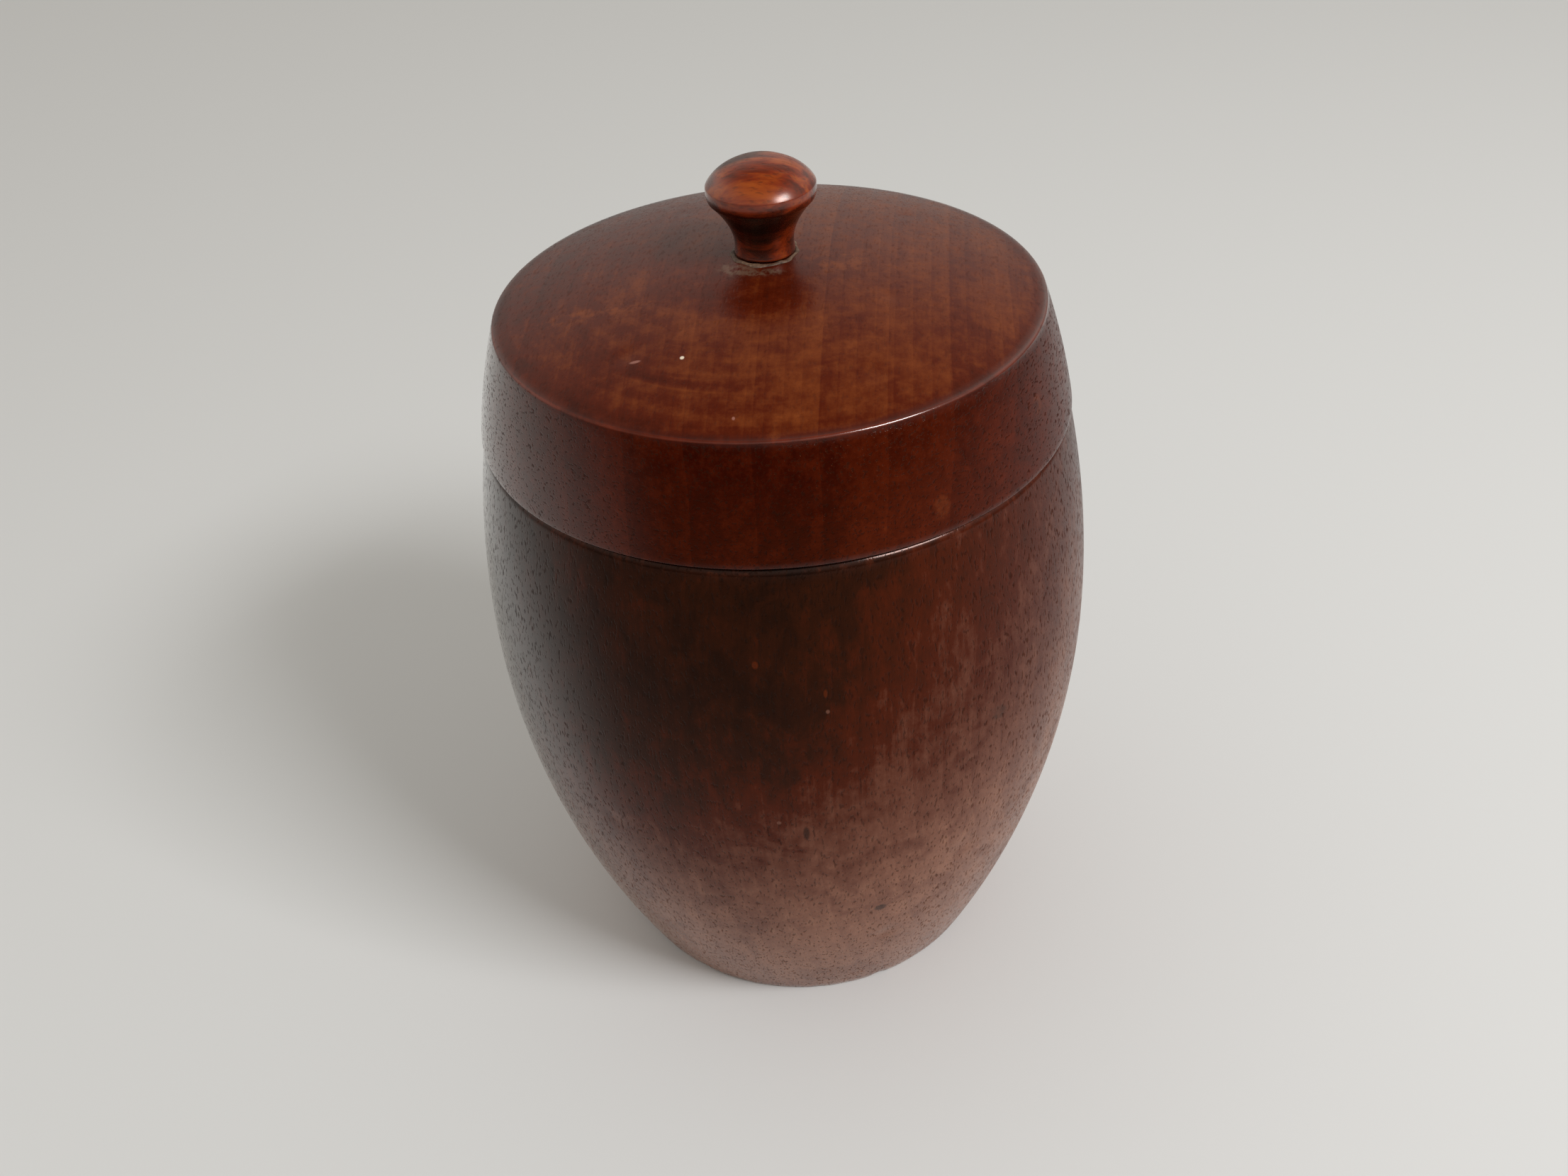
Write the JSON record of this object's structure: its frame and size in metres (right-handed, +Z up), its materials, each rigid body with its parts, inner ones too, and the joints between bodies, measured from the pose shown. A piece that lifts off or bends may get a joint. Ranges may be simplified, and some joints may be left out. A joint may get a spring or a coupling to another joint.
{
  "type": "desk pot",
  "caption": "Hollow barrel-shaped desk pot of turned wood, with a domed lid that lifts off over a collar and carries a small mushroom knob.",
  "frame": {"origin": "centre of the ring that the pot stands on, on the surface below it", "axes": "+Z up along the turning axis; the pot is round, so +X and +Y are any two level directions, with the picture taken from about -Y"},
  "size_m": [0.11, 0.11, 0.1573],
  "materials": {
    "pot_wood": "dark red-brown close-grained hardwood, old satin polish",
    "lid_wood": "red-brown close-grained hardwood, old satin polish",
    "knob_wood": "orange-brown hardwood, handled to a gloss",
    "old_glue": "dull dried glue and wax"
  },
  "bodies": {
    "pot": {"pot": "pot_wood"},
    "lid": {"lid": "lid_wood", "knob": "knob_wood", "glue_bead": "old_glue"}
  },
  "joints": [
    {"name": "lid_lift", "type": "slide", "parent": "pot", "child": "lid", "axis": [0, 0, 1], "range_m": [0, 0.08]}
  ]
}
